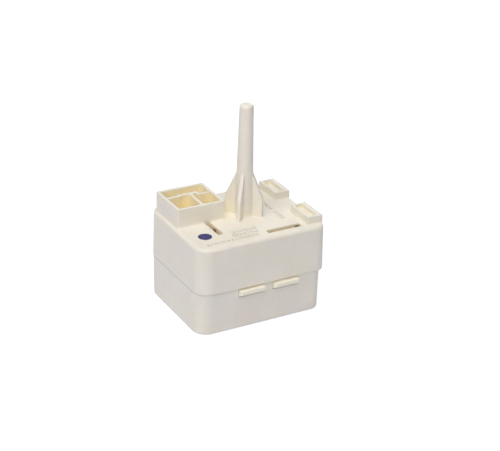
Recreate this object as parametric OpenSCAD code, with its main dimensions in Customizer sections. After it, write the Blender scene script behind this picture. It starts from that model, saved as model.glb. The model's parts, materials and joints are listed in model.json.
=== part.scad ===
// Compressor start relay: a snap-together moulded case with a three-way connector shroud,
// a long ribbed locating pin, a PTC starter, an overload protector and three pin sockets.
// Millimetres, +Z up, X across the front. The origin is the centre of the base, at z = 0.

/* [Case] */
// Width of the upper housing at the seam
body_w = 48; // [46:0.5:52]
// Depth of the upper housing at the seam
body_d = 39.4; // [38.8:0.2:44]
// Height of the flat top above the base
body_h = 31.6; // [31:0.2:36]
// Height of the seam between tray and housing
seam_z = 15.2; // [14:0.2:16]
// Wall thickness of the upper housing
wall = 1.8; // [1.4:0.1:2]
// Thickness of the roof
roof = 2; // [1.6:0.1:2.6]
// Draft of the upper walls in degrees
draft = 1.1; // [0.5:0.1:1.5]
// Radius of the upper edges
top_fillet = 1.2; // [0.6:0.1:1.6]
// Radius of the front left corner
front_left_r = 5.4; // [4:0.2:6.5]
// Radius of the front right corner
front_right_r = 3.6; // [3.2:0.2:6]
// Radius of the two back corners
back_r = 5.8; // [4:0.2:6.5]

/* [Tray] */
// Step from the front of the housing back to the tray
tray_step_front = 0.5; // [0.2:0.1:0.8]
// Step from the right side of the housing in to the tray
tray_step_right = 1; // [0.4:0.1:1.2]
// Step from the back of the housing in to the tray
tray_step_back = 0.3; // [0.1:0.1:0.6]
// Wall thickness of the tray
tray_wall = 2; // [1.8:0.1:2.2]
// Thickness of the floor
floor_t = 2; // [1.6:0.1:2.4]
// Draft of the tray walls in degrees
tray_draft = 0.7; // [0.7:0.1:1]
// Radius of the bottom edges
bottom_fillet = 0.8; // [0.4:0.1:1.2]
// Height of the lip that locates the housing inside the tray
lip_h = 4; // [3.6:0.1:5]
// Gap between the lip and the tray
lip_gap = 0.05; // [0.03:0.01:0.1]
// Height of the groove under the seam
groove_h = 0.2; // [0.1:0.05:0.3]
// Depth of the groove under the seam
groove_in = 0.5; // [0.3:0.05:0.6]

/* [Snap noses] */
// Length of each snap nose
nose_l = 9.4; // [7:0.2:10]
// Reach of a nose beyond the tray wall
nose_out = 2; // [1:0.1:2.4]
// Height of a nose at its tip
nose_tip_h = 1.3; // [0.8:0.1:1.6]
// Height of a nose at its root
nose_h = 2.5; // [2:0.1:2.8]
// Strip of tray wall above a nose that it catches under
nose_catch = 0.6; // [0.4:0.1:0.9]
// Centre of the two noses along X
nose_x = 1.9; // [0:0.1:4]
// Spacing of the two noses
nose_pitch = 12.8; // [11:0.2:14]

/* [Connector] */
// Outer width of the shroud
conn_w = 17.5; // [17:0.1:18.5]
// Outer length of the shroud, front to back
conn_l = 16.6; // [16.2:0.1:17.4]
// Height of the shroud above the top
conn_h = 6.7; // [5:0.1:9]
// Distance of the shroud from the left side of the housing
conn_left = 1.4; // [1.2:0.1:2]
// Distance of the shroud from the back of the housing
conn_back = 3.9; // [3:0.1:4.4]
// Thickness of the shroud walls
conn_wall = 1.1; // [0.9:0.05:1.2]
// Thickness of the cell dividers
conn_rib = 1; // [0.8:0.05:1.1]
// Depth of the cells below the top of the housing
cell_depth = 7.3; // [6:0.1:7.6]
// Depth of the narrow back cell
back_cell = 4.3; // [4.2:0.1:4.6]
// Vertical edge radius of the shroud
conn_r = 0.6; // [0.3:0.1:0.9]
// Radius of the cove at the foot of the shroud and of the pin
cove_r = 0.8; // [0.4:0.1:1]
// Chamfer in the back corner of the right front cell
cell_chamfer = 1.2; // [0.8:0.1:1.5]

/* [Locating pin] */
// Distance of the pin axis from the side of the shroud
pin_side = 7.8; // [6.8:0.1:9]
// Distance of the pin axis behind the front of the shroud
pin_back = 1; // [0:0.1:2]
// Height of the pin above the top
pin_h = 39.5; // [30:0.2:45]
// Pin diameter at the root
pin_root_d = 6.2; // [5.6:0.1:7]
// Pin diameter at the tip
pin_tip_d = 4.65; // [4:0.05:5.4]
// Edge radius of the tip
pin_tip_r = 1.1; // [0.5:0.1:1.8]
// Reach of the four ribs from the pin axis
rib_reach = 6.5; // [5:0.1:6.8]
// Height of the straight foot of a rib
rib_foot_h = 6.6; // [4:0.2:10]
// Height at which a rib meets the pin
rib_top_h = 16; // [14:0.2:22]
// Thickness of a rib
rib_t = 1.3; // [0.8:0.1:1.6]

/* [Rest bosses and slots] */
// Width of the two rest bosses along X
boss_w = 5.7; // [5:0.1:6.2]
// Length of a rest boss along Y
boss_l = 11.3; // [9:0.1:12]
// Height of a rest boss
boss_h = 2.5; // [1.5:0.1:3.5]
// Distance of each boss from the front or back of the housing
boss_end = 3.15; // [2.5:0.05:4]
// Distance of a boss from the right side
boss_right = 0.55; // [0.5:0.05:1]
// Depth of the pocket in a boss
boss_pocket = 1.4; // [0.6:0.1:2]
// Rim of the pocket on its left side and ends
boss_rim = 1; // [0.8:0.05:1.2]
// Rim of the pocket on its right side
boss_rim_right = 1.8; // [1.2:0.1:2.2]
// Distance of the side slot's middle from the left side of the shroud
side_slot_at = 11; // [10.8:0.1:11.2]
// Distance of the front slot's middle from the right side
front_slot_at = 14.7; // [13:0.1:16]
// Distance of the front slot's middle from the front
front_slot_in = 4.3; // [3.8:0.1:5]
// Width of the slot beside the connector
side_slot_w = 1.9; // [1.4:0.1:2.4]
// Length of the slot beside the connector
side_slot_l = 9.6; // [7:0.2:10]
// Width of the slot at the front
front_slot_w = 2.1; // [1.4:0.1:2.6]
// Length of the slot at the front
front_slot_l = 12.6; // [9:0.2:13]
// Depth of the blind part of the slots
slot_depth = 2.4; // [1.6:0.1:3]

/* [Pin sockets] */
// Diameter of the compressor pins
plug_pin_d = 3.2; // [3:0.05:3.3]
// Radius of the circle through the three sockets
socket_circle_r = 6.75; // [6.6:0.05:6.9]
// Wall of a socket barrel
socket_wall = 0.5; // [0.4:0.05:0.6]
// Height of a socket barrel
socket_h = 9; // [8.6:0.1:9.4]
// Thickness of the closed end of a socket
socket_end = 0.8; // [0.7:0.05:1]
// Gap between the back wall and the rearmost socket well
socket_back = 2.1; // [1.6:0.1:2.2]
// Thickness of a sleeve spring
sleeve_t = 0.3; // [0.2:0.05:0.35]
// Height of a sleeve spring
sleeve_h = 4; // [3:0.2:5]
// Thickness of the brass straps
strap_t = 0.8; // [0.6:0.05:0.9]
// Width of the connector blades
blade_w = 4.8; // [4:0.1:5]

/* [Starter] */
// Pill diameter as a share of the inner width of the tray
pill_share = 0.442; // [0.4:0.002:0.45]
// Thickness of the ceramic pill
pill_t = 2.6; // [2.2:0.1:2.8]
// Gap between the pill and the left wall
pill_side = 1.9; // [1.6:0.1:2.2]
// Height of the pill above the floor
pill_lift = 1.1; // [0.8:0.1:1.3]
// Thickness of the contact springs
spring_t = 0.4; // [0.3:0.05:0.5]
// Rise of a contact spring from its plate to the pill
spring_rise = 1.3; // [1.1:0.05:1.4]
// Width of the contact springs
spring_w = 8; // [6:0.2:9]

/* [Overload protector] */
// Case diameter as a share of the inner width of the tray
ol_share = 0.41; // [0.38:0.002:0.412]
// Case length as a share of the inner depth of the tray
ol_depth_share = 0.2; // [0.19:0.002:0.21]
// Gap between the case and the right wall
ol_side = 0.8; // [0.6:0.1:1]
// Height of the case above the floor
ol_lift = 0.9; // [0.7:0.1:1.1]
// Wall of the protector case
ol_wall = 1.4; // [1.2:0.1:1.5]
// Thickness of the protector cover
ol_cover_t = 1.2; // [1:0.1:1.3]
// Disc diameter as a share of the inside of the case
disc_share = 0.82; // [0.78:0.01:0.83]
// Thickness of the bimetal disc
disc_t = 0.3; // [0.2:0.02:0.35]
// Depth of the dish of the disc
disc_dish = 0.5; // [0.3:0.05:0.6]
// Height of each contact
contact_h = 0.6; // [0.4:0.05:0.7]
// Thickness of the protector's terminals
term_t = 0.6; // [0.5:0.05:0.7]
// Width of the protector's terminals
term_w = 3.4; // [3:0.1:3.6]
// Length of the terminals outside the cover
term_out = 2.5; // [2.2:0.1:2.6]

/* [Hidden] */
$fn = 96;
// Overlap that keeps a cut clear of the face that it opens
eps = 0.5;

// Case outline as distances from the origin to the four sides
half_w = body_w / 2;
half_d = body_d / 2;
upper_h = body_h - seam_z;
tray_sides = [half_w, half_w - tray_step_right, half_d - tray_step_front, half_d - tray_step_back];
corner_r = [front_left_r, front_right_r, back_r];
// How far the walls lean in, rounded so that neighbouring faces meet exactly
draft_in = round(tan(draft) * (upper_h - top_fillet) * 1000) / 1000;
tray_in = round(tan(tray_draft) * (seam_z - bottom_fillet) * 1000) / 1000;
ceiling_z = body_h - roof;

// Connector cells
conn_x0 = -half_w + conn_left;
conn_x1 = conn_x0 + conn_w;
conn_y1 = half_d - conn_back;
conn_y0 = conn_y1 - conn_l;
conn_z = body_h + conn_h;
pin_x = conn_x1 + pin_side;
pin_y = conn_y0 + pin_back;
cell_x0 = conn_x0 + conn_wall;
cell_x1 = conn_x1 - conn_wall;
cell_y0 = conn_y0 + conn_wall;
cell_y1 = conn_y1 - conn_wall;
cell_z = body_h - cell_depth;
well_t = 1.4;
well_z = cell_z - well_t;
mid_shift = 0.8;
mid_x = (cell_x0 + cell_x1) / 2 + mid_shift;
// Front faces of the cross divider: left part, keyed middle part and right part
key_left_y = 0.6;
key_right_y = 1.8;
key_left_w = 3.9;
key_right_w = 3.7;
div_mid_y = cell_y1 - back_cell - conn_rib;
div_left_y = div_mid_y - key_left_y;
div_right_y = div_mid_y - key_right_y;
key_left_x = cell_x0 + key_left_w;
key_right_x = cell_x1 - key_right_w;
blade_gap = 0.06;
// The blades stop above the top, well below the rim of the shroud
blade_rise = 0.4;
blade_top = body_h + blade_rise;
blade_taper = 0.8;
back_blade_x = (cell_x0 + cell_x1) / 2;
back_blade_y = cell_y1 - back_cell / 2;
left_blade_x = (cell_x0 + mid_x - conn_rib / 2) / 2;
right_blade_x = (cell_x1 + mid_x + conn_rib / 2) / 2;
front_blade_y = (cell_y0 + div_right_y) / 2;

// Room inside the tray and the roof
in_x0 = -half_w + tray_wall;
in_x1 = half_w - tray_step_right - tray_wall;
in_y0 = -tray_sides[2] + tray_wall;
in_y1 = tray_sides[3] - tray_wall;
in_w = in_x1 - in_x0;
in_d = in_y1 - in_y0;

// Sockets: common at the back, run on the right, start on the left
bore_r = plug_pin_d / 2;
barrel_r = bore_r + socket_wall;
// Taper of the bore at its closed end, where the barrel is drawn
end_taper_h = 0.3;
end_taper_in = 0.2;
spring_gap = 0.1;
well_r = barrel_r + sleeve_t + spring_gap;
well_wall = 1.1;
well_top = floor_t + socket_h - 1.6;
common_y = in_y1 - socket_back - well_r - well_wall;
socket_y = common_y - socket_circle_r;
pin_row_y = socket_y - socket_circle_r * sin(30);
common_xy = [0, common_y];
run_xy = [socket_circle_r * cos(30), pin_row_y];
start_xy = [-socket_circle_r * cos(30), pin_row_y];
sockets = [common_xy, run_xy, start_xy];
barrel_top = floor_t + socket_h;
strap_z = barrel_top;
strap_top = strap_z + strap_t;
pad_r = 2.3;
rivet_r = 0.75;
rivet_head_r = 1.6;
rivet_head_h = 0.7;
rivet_sink_r = 1.2;
rivet_sink_in = 0.1;
rivet_gap = 0.02;
slit_w = 0.4;
slit_end = 1;
ring_slit_w = 1;
ring_lift = 2;
strap_w = 2.4;
// Bar of the neutral strap between the sockets, and its arm along the left side
bar_y0 = socket_y + 0.5;
bar_y1 = bar_y0 + strap_w;
arm_out = 2;
arm_x0 = left_blade_x - strap_t / 2 - arm_out;
arm_x1 = left_blade_x + strap_t / 2;
// Leg of the start strap in front of its socket's rivet and of the shroud
leg_gap = 1.8;
leg_y1 = start_xy[1] - leg_gap;
leg_y0 = min(leg_y1 - strap_w, conn_y0 - leg_gap);
rib_root = 0.2;
post_w = 2;
post_in = 0.4;
post_gap = 0.6;

// Starter pill stands on edge behind the front wall, between two plates
pill_d = in_w * pill_share;
pill_x = in_x0 + pill_side + pill_d / 2;
pill_z = floor_t + pill_lift + pill_d / 2;
plate_front_gap = 0.6;
start_plate_y = in_y0 + plate_front_gap;
pill_y = start_plate_y + strap_t + spring_rise;
run_plate_y = pill_y + pill_t + spring_rise;
plate_half = pill_d * 0.284;
plate_rise = pill_d * 0.342;
plate_z0 = pill_z - plate_rise;
plate_z1 = pill_z + plate_rise;
bow_reach = pill_d * 0.295;
bow_flat = pill_d * 0.084;
bow_foot = pill_d * 0.074;
rest_t = 1.4;
over_gap = 0.5;
over_h = 1.3;
over_z = pill_z + pill_d / 2 + over_gap;
// Two toes under the pill: distance of their inner edge from its axis, and their width
toe_x = pill_d * 0.16;
toe_w = 2;
stop_x = pill_d * 0.42;
stop_w = 1.2;
hold_x = pill_d * 0.26;
hold_t = 1.2;
hold_gap = 0.2;
part_wall_x = 0;
part_wall_t = 1.2;

// Overload protector lies behind the front wall on the right, its cover to the back
ol_d = in_w * ol_share;
ol_l = in_d * ol_depth_share;
ol_r = ol_d / 2;
ol_in = ol_r - ol_wall;
ol_x = in_x1 - ol_side - ol_r;
ol_z = floor_t + ol_lift + ol_r;
ol_front_gap = 0.4;
ol_y0 = in_y0 + ol_front_gap;
ol_y1 = ol_y0 + ol_l;
ol_back = ol_y1 + ol_cover_t;
ol_end_t = 1.2;
seat_y = ol_y0 + ol_end_t;
term_y = ol_y1 - term_t;
term_r = ol_in - 2 * term_t;
term_z0 = ol_z - term_w / 2;
term_z1 = ol_z + term_w / 2;
disc_d = 2 * ol_in * disc_share;
disc_y = term_y - 2 * contact_h - disc_t;
contact_r = disc_d * 0.36;
contact_d = disc_d * 0.19;
stem_r = contact_d * 0.3;
stud_base_r = ol_in * 0.46;
stud_neck_r = ol_in * 0.2;
stud_tip_r = ol_in * 0.135;
stud_base_h = 0.8;
clip_r = ol_in * 0.25;
clip_h = 0.5;
heater_t = 0.3;
heater_w = ol_in * 0.19;
heater_r = ol_in * 0.81;
leg_r = disc_d / 2 + 0.3;
leg_half = 0.6;
term_slot_gap = 0.05;
disc_hub_r = disc_d * 0.165;
disc_knee_r = disc_d * 0.263;
line_term_x = ol_x - term_r - term_t;
common_term_x = ol_x + term_r;

// Line strap crosses above the other straps, under the connector wells
line_w = 3.6;
line_clear = 1.2;
line_z1 = well_z - line_clear;
line_z0 = line_z1 - line_w;
line_x = line_term_x - strap_t;
flag_gap = 0.2;

// Slots in the top
side_slot_x = conn_x0 + side_slot_at;
front_slot_x = half_w - front_slot_at;
front_slot_y = -half_d + front_slot_in;
slot_hole = 2;
pad_rim = 0.8;
pad_t = 1;

// Lip, snap noses and their windows
lip_t = tray_wall / 2 - lip_gap;
lip_root_h = 1.2;
nose_top = seam_z - nose_catch;
nose_places = [nose_x - nose_pitch / 2, nose_x + nose_pitch / 2];
nose_play = 0.05;
nose_r = 0.7;
window_gap = 0.1;
window_drop = 0.3;
// How far a cove is sunk into the faces that it joins
sink = 0.02;

// Section of one wall, from the corner centre line out to its drafted and rounded face
module wall_section(reach, r, h, lean, fillet) {
    fillet_x = reach - lean - fillet;
    polygon([
        [reach - r, 0], [reach, 0], [reach - lean, h - fillet],
        [fillet_x, h - fillet], [fillet_x, h], [reach - r, h]
    ]);
    translate([fillet_x, h - fillet]) intersection() {
        circle(fillet);
        square(fillet);
    }
}

// The same section, turned upside down when it is the tray's
module turned_section(reach, r, h, lean, fillet, down) {
    if (down) translate([0, h]) mirror([0, 1]) wall_section(reach, r, h, lean, fillet);
    else wall_section(reach, r, h, lean, fillet);
}

// One quarter of a drafted block with a rounded corner and one rounded edge
module block_quarter(x, y, r, h, lean, fillet, down) {
    cube([x - r, y - r, h]);
    translate([0, y - r, 0]) rotate([90, 0, 0])
        linear_extrude(y - r) turned_section(x, r, h, lean, fillet, down);
    rotate([90, 0, 90])
        linear_extrude(x - r) turned_section(y, r, h, lean, fillet, down);
    translate([x - r, y - r, 0])
        rotate_extrude(angle = 90) turned_section(r, r, h, lean, fillet, down);
}

// Whole block: sides are the distances to the left, right, front and back
module rounded_block(sides, h, lean, fillet, down) {
    block_quarter(sides[1], sides[3], corner_r[2], h, lean, fillet, down);
    mirror([1, 0, 0]) block_quarter(sides[0], sides[3], corner_r[2], h, lean, fillet, down);
    mirror([0, 1, 0]) block_quarter(sides[1], sides[2], corner_r[1], h, lean, fillet, down);
    mirror([1, 0, 0]) mirror([0, 1, 0])
        block_quarter(sides[0], sides[2], corner_r[0], h, lean, fillet, down);
}

// Flat outline of one quarter, set in from the side by inset
module outline_quarter(x, y, r, inset) {
    k = max(r - inset, 0.4);
    cx = x - inset - k;
    cy = y - inset - k;
    square([cx, y - inset]);
    translate([cx, 0]) square([k, cy]);
    translate([cx, cy]) intersection() {
        circle(k);
        square(k);
    }
}

// Whole flat outline, set in from the four sides by inset
module outline(sides, inset) {
    outline_quarter(sides[1], sides[3], corner_r[2], inset);
    mirror([1, 0]) outline_quarter(sides[0], sides[3], corner_r[2], inset);
    mirror([0, 1]) outline_quarter(sides[1], sides[2], corner_r[1], inset);
    mirror([1, 0]) mirror([0, 1]) outline_quarter(sides[0], sides[2], corner_r[0], inset);
}

// Upright prism from z0 to z1
module prism(z0, z1) {
    translate([0, 0, z0]) linear_extrude(z1 - z0) children();
}

// Box between two corners
module box(low, high) {
    translate(low) cube(high - low);
}

// Round bar along Y between y0 and y1
module round_y(x, z, r, y0, y1) {
    translate([x, y1, z]) rotate([90, 0, 0]) cylinder(r = r, h = y1 - y0);
}

// Plate in the XZ plane between y0 and y1, drawn as X and Z
module plate_y(y0, y1) {
    translate([0, y1, 0]) rotate([90, 0, 0]) linear_extrude(y1 - y0) children();
}

// Plate in the YZ plane between x0 and x1, drawn as Y and Z
module plate_x(x0, x1) {
    translate([x0, 0, 0]) rotate([90, 0, 90]) linear_extrude(x1 - x0) children();
}

// Outline of the connector shroud with small edge radii
module shroud_outline() {
    x = conn_w - conn_r;
    y = conn_l - conn_r;
    translate([conn_x0, conn_y0]) {
        translate([conn_r, 0]) square([conn_w - 2 * conn_r, conn_l]);
        translate([0, conn_r]) square([conn_r, conn_l - 2 * conn_r]);
        translate([x, conn_r]) square([conn_r, conn_l - 2 * conn_r]);
        for (c = [[conn_r, conn_r, 180], [x, conn_r, 270], [x, y, 0], [conn_r, y, 90]])
            translate([c[0], c[1]]) rotate(c[2]) intersection() {
                circle(conn_r);
                square(conn_r);
            }
    }
}

// The three cells: one wide cell at the back and two keyed cells in front
module cell_outlines() {
    polygon([
        [cell_x0, div_left_y + conn_rib], [key_left_x, div_left_y + conn_rib],
        [key_left_x, div_mid_y + conn_rib], [key_right_x, div_mid_y + conn_rib],
        [key_right_x, div_right_y + conn_rib], [cell_x1, div_right_y + conn_rib],
        [cell_x1, cell_y1], [cell_x0, cell_y1]
    ]);
    polygon([
        [cell_x0, cell_y0], [mid_x - conn_rib / 2, cell_y0],
        [mid_x - conn_rib / 2, div_mid_y], [key_left_x + conn_rib, div_mid_y],
        [key_left_x + conn_rib, div_left_y], [cell_x0, div_left_y]
    ]);
    polygon([
        [mid_x + conn_rib / 2, cell_y0], [cell_x1, cell_y0],
        [cell_x1, div_right_y], [key_right_x - conn_rib, div_right_y],
        [key_right_x - conn_rib, div_mid_y],
        [mid_x + conn_rib / 2 + cell_chamfer, div_mid_y],
        [mid_x + conn_rib / 2, div_mid_y - cell_chamfer]
    ]);
}

// Section of a cove between an upright face and a level one
module cove_section() {
    translate([-sink, -sink]) difference() {
        square(cove_r);
        translate([cove_r, cove_r]) circle(cove_r);
    }
}

// Cove round the foot of the shroud, on its front, right and back
module shroud_cove() {
    l = conn_w - 2 * conn_r;
    x = conn_x1 - conn_r;
    translate([x, conn_y0, body_h]) rotate([90, 0, 270]) linear_extrude(l) cove_section();
    translate([conn_x0 + conn_r, conn_y1, body_h]) rotate([90, 0, 90]) linear_extrude(l) cove_section();
    translate([conn_x1, conn_y1 - conn_r, body_h]) rotate([90, 0, 0])
        linear_extrude(conn_l - 2 * conn_r) cove_section();
    for (c = [[conn_y0 + conn_r, 270], [conn_y1 - conn_r, 0]])
        translate([x, c[0], body_h]) rotate([0, 0, c[1]])
            rotate_extrude(angle = 90) translate([conn_r, 0]) cove_section();
}

// Slits in the cell floors for the three blades
module blade_slits() {
    side = blade_w / 2 + blade_gap;
    flat = strap_t / 2 + blade_gap;
    z0 = well_z - eps;
    z1 = cell_z + eps;
    for (x = [left_blade_x, right_blade_x])
        box([x - flat, front_blade_y - side, z0], [x + flat, front_blade_y + side, z1]);
    box([back_blade_x - side, back_blade_y - flat, z0], [back_blade_x + side, back_blade_y + flat, z1]);
}

// Tapered locating pin with a rounded tip
module locating_pin() {
    slope = (pin_root_d - pin_tip_d) / 2 / pin_h;
    r_at = round((pin_root_d / 2 - slope * (pin_h - pin_tip_r)) * 1000) / 1000;
    translate([pin_x, pin_y, body_h]) rotate_extrude() {
        polygon([
            [0, -roof / 2], [pin_root_d / 2, -roof / 2], [pin_root_d / 2, 0],
            [r_at, pin_h - pin_tip_r], [0, pin_h - pin_tip_r]
        ]);
        flat_r = r_at - pin_tip_r;
        translate([0, pin_h - pin_tip_r]) square([flat_r, pin_tip_r]);
        translate([flat_r, pin_h - pin_tip_r]) intersection() {
            circle(pin_tip_r);
            square(pin_tip_r);
        }
        translate([pin_root_d / 2, 0]) cove_section();
    }
}

// Four ribs on the diagonals, with an upright foot and a sloping edge
module pin_ribs() {
    for (a = [45, 135, 225, 315])
        translate([pin_x, pin_y, body_h]) rotate([90, 0, a])
            translate([0, 0, -rib_t / 2]) linear_extrude(rib_t) polygon([
                [0, -roof / 2], [rib_reach, -roof / 2], [rib_reach, rib_foot_h],
                [pin_root_d / 2 - 0.6, rib_top_h], [0, rib_top_h]
            ]);
}

// Two rest bosses on the right edge of the top, each with a pocket
module rest_bosses() {
    x1 = half_w - boss_right;
    x0 = x1 - boss_w;
    far = half_d - boss_end;
    for (y0 = [-far, far - boss_l]) difference() {
        box([x0, y0, body_h - top_fillet], [x1, y0 + boss_l, body_h + boss_h]);
        box([x0 + boss_rim, y0 + boss_rim, body_h + boss_h - boss_pocket],
            [x1 - boss_rim_right, y0 + boss_l - boss_rim, body_h + boss_h + eps]);
    }
}

// Thick pads under the roof that hold the blind part of the two slots
module slot_pads() {
    z0 = body_h - slot_depth - pad_t;
    z1 = body_h - roof / 2;
    side = side_slot_w / 2 + pad_rim;
    long = front_slot_l / 2 + pad_rim;
    deep = front_slot_w / 2 + pad_rim;
    box([side_slot_x - side, conn_y0 - side_slot_l - pad_rim, z0], [side_slot_x + side, conn_y0 + pad_rim, z1]);
    box([front_slot_x - long, front_slot_y - deep, z0], [front_slot_x + long, front_slot_y + deep, z1]);
}

// Two blind slots in the top, each with a through hole at one end
module slots() {
    blind = body_h - slot_depth;
    deep = blind - pad_t - eps;
    side = side_slot_w / 2;
    half_slot = front_slot_w / 2;
    end_x = front_slot_x + front_slot_l / 2;
    hole_y = conn_y0 - slot_hole;
    box([side_slot_x - side, conn_y0 - side_slot_l, blind], [side_slot_x + side, conn_y0, body_h + eps]);
    box([side_slot_x - side, hole_y - slot_hole, deep], [side_slot_x + side, hole_y, body_h + eps]);
    box([end_x - front_slot_l, front_slot_y - half_slot, blind], [end_x, front_slot_y + half_slot, body_h + eps]);
    box([end_x - slot_hole, front_slot_y - half_slot, deep], [end_x, front_slot_y + half_slot, body_h + eps]);
}

// Lip that drops inside the tray wall
module lip() {
    prism(seam_z - lip_h, seam_z) difference() {
        outline(tray_sides, tray_wall / 2 + lip_gap);
        outline(tray_sides, tray_wall);
    }
    prism(seam_z, seam_z + lip_root_h) difference() {
        outline([half_w, half_w, half_d, half_d], wall / 2);
        outline(tray_sides, tray_wall);
    }
}

// Section of a snap nose: level top, short upright tip and sloping underside
module nose_section() {
    reach = tray_wall / 2 + lip_gap + nose_out;
    polygon([
        [-lip_t, 0], [reach, 0], [reach, -nose_tip_h], [tray_wall / 2, -nose_h], [-lip_t, -nose_h]
    ]);
}

// Plan of a snap nose with two rounded outer corners
module nose_plan() {
    reach = tray_wall / 2 + lip_gap + nose_out;
    translate([0, -lip_t]) square([nose_l, lip_t + reach - nose_r]);
    translate([nose_r, 0]) square([nose_l - 2 * nose_r, reach]);
    for (x = [nose_r, nose_l - nose_r])
        translate([x, reach - nose_r]) circle(nose_r);
}

// One snap nose that points to the back, its root on the lip
module nose() {
    intersection() {
        rotate([90, 0, 90]) linear_extrude(nose_l) nose_section();
        prism(-nose_h - eps, eps) nose_plan();
    }
}

// Snap noses on the front and the back of the lip
module noses() {
    z = nose_top - nose_play;
    for (x = nose_places) {
        translate([x - nose_l / 2, -tray_sides[2] + tray_wall / 2 + lip_gap, z]) mirror([0, 1, 0]) nose();
        translate([x - nose_l / 2, tray_sides[3] - tray_wall / 2 - lip_gap, z]) nose();
    }
}

// Ribs under the roof that keep the pill and the protector down
module hold_downs() {
    reach = hold_x - hold_t / 2;
    pill_hold_z = pill_z + sqrt(pow(pill_d / 2, 2) - pow(reach, 2)) + hold_gap;
    for (x = [pill_x - hold_x, pill_x + hold_x])
        box([x - hold_t / 2, pill_y, pill_hold_z], [x + hold_t / 2, pill_y + pill_t, body_h - roof / 2]);
    box([ol_x - hold_t / 2, ol_y0 + ol_end_t, ol_z + ol_r + hold_gap],
        [ol_x + hold_t / 2, ol_y1 - ol_end_t, body_h - roof / 2]);
}

module upper_housing() {
    color([0.90, 0.88, 0.83]) {
        difference() {
            union() {
                difference() {
                    translate([0, 0, seam_z])
                        rounded_block([half_w, half_w, half_d, half_d], upper_h, draft_in, top_fillet, false);
                    prism(seam_z - eps, ceiling_z)
                        outline([half_w, half_w, half_d, half_d], wall + draft_in);
                }
                prism(well_z, conn_z) shroud_outline();
                shroud_cove();
                locating_pin();
                pin_ribs();
                rest_bosses();
                slot_pads();
                lip();
                noses();
                hold_downs();
            }
            prism(cell_z, conn_z + eps) cell_outlines();
            blade_slits();
            slots();
        }
    }
}

// Windows in the tray wall for the snap noses
module nose_windows() {
    side = nose_l / 2 + window_gap;
    z0 = nose_top - nose_h - window_drop;
    for (x = nose_places) {
        box([x - side, -half_d - eps, z0], [x + side, in_y0 + eps, nose_top]);
        box([x - side, in_y1 - eps, z0], [x + side, half_d + eps, nose_top]);
    }
}

// Wells that hold the sockets
module socket_wells() {
    for (p = sockets)
        translate([p[0], p[1], 0]) cylinder(r = well_r + well_wall, h = well_top);
}

// Straight holes through floor and wells, in which the sockets hang from their straps
module socket_holes() {
    for (p = sockets)
        translate([p[0], p[1], -eps]) cylinder(r = well_r, h = barrel_top + eps);
}

// Height of the pill's rim at a distance from its axis
function rim_z(x) = pill_z - sqrt(pow(pill_d / 2, 2) - pow(x, 2));

// Upright walls that hold the starter plates, the pill and the straps
module tray_ribs() {
    z0 = floor_t - rib_root;
    rest_y = run_plate_y + strap_t;
    // Backing wall of the neutral plate
    box([pill_x - plate_half, rest_y, z0], [pill_x + plate_half, rest_y + rest_t, strap_z - 1]);
    // Toes under the pill and a stop at each side of it
    for (p = [[toe_x, toe_w], [stop_x, stop_w]])
        for (x = [pill_x - p[0] - p[1], pill_x + p[0]])
            box([x, pill_y, z0], [x + p[1], pill_y + pill_t, rim_z(p[0])]);
    // Low wall between the pill and the protector
    box([part_wall_x, in_y0 - rib_root, z0], [part_wall_x + part_wall_t, ol_back, seam_z - lip_h - 1]);
    // Posts under the neutral, common and line straps
    box([arm_x0 + post_in, pin_row_y, z0], [arm_x1 - post_in, pin_row_y + post_w, strap_z]);
    box([common_term_x - post_w / 2, pin_row_y, z0], [common_term_x + post_w / 2, pin_row_y + post_w, strap_z]);
    box([line_x, bar_y1 + post_gap, z0],
        [line_x + strap_t + post_in, common_y - strap_w / 2 - post_gap, line_z0]);
}

// Saddle under the protector
module ol_saddle() {
    half = ol_r * 0.61;
    difference() {
        box([ol_x - half, ol_y0 + ol_end_t, floor_t - rib_root],
            [ol_x + half, ol_y1 - ol_end_t, ol_z - ol_r * 0.8]);
        round_y(ol_x, ol_z, ol_r, ol_y0, ol_y1);
    }
}

module base_tray() {
    color([0.88, 0.86, 0.81]) difference() {
        union() {
            difference() {
                rounded_block(tray_sides, seam_z, tray_in, bottom_fillet, true);
                prism(floor_t, seam_z + eps) outline(tray_sides, tray_wall);
                prism(seam_z - lip_h - 0.1, seam_z + eps) outline(tray_sides, tray_wall / 2);
                prism(seam_z - groove_h, seam_z + eps) difference() {
                    outline(tray_sides, -eps);
                    outline(tray_sides, groove_in);
                }
            }
            socket_wells();
            tray_ribs();
            ol_saddle();
        }
        socket_holes();
        nose_windows();
    }
}

// Stamped socket barrel with a slit, its closed end countersunk for the rivet
module socket(p) {
    inside = socket_h - socket_end;
    hole_r = rivet_r + rivet_gap;
    sink_r = rivet_sink_r + rivet_gap;
    color([0.80, 0.66, 0.36]) translate([p[0], p[1], floor_t]) difference() {
        cylinder(r = barrel_r, h = socket_h);
        translate([0, 0, -eps]) cylinder(r = bore_r, h = inside - end_taper_h + eps);
        translate([0, 0, inside - end_taper_h])
            cylinder(r1 = bore_r, r2 = bore_r - end_taper_in, h = end_taper_h);
        translate([0, 0, inside - eps]) cylinder(r = sink_r, h = eps + rivet_sink_in);
        translate([0, 0, inside + rivet_sink_in]) cylinder(r1 = sink_r, r2 = hole_r, h = sink_r - hole_r);
        translate([0, 0, inside]) cylinder(r = hole_r, h = socket_end + eps);
        translate([0, -slit_w / 2, -eps]) cube([barrel_r + 1, slit_w, inside - slit_end + eps]);
    }
}

module run_socket() {
    socket(run_xy);
}

module start_socket() {
    socket(start_xy);
}

module common_socket() {
    socket(common_xy);
}

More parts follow.
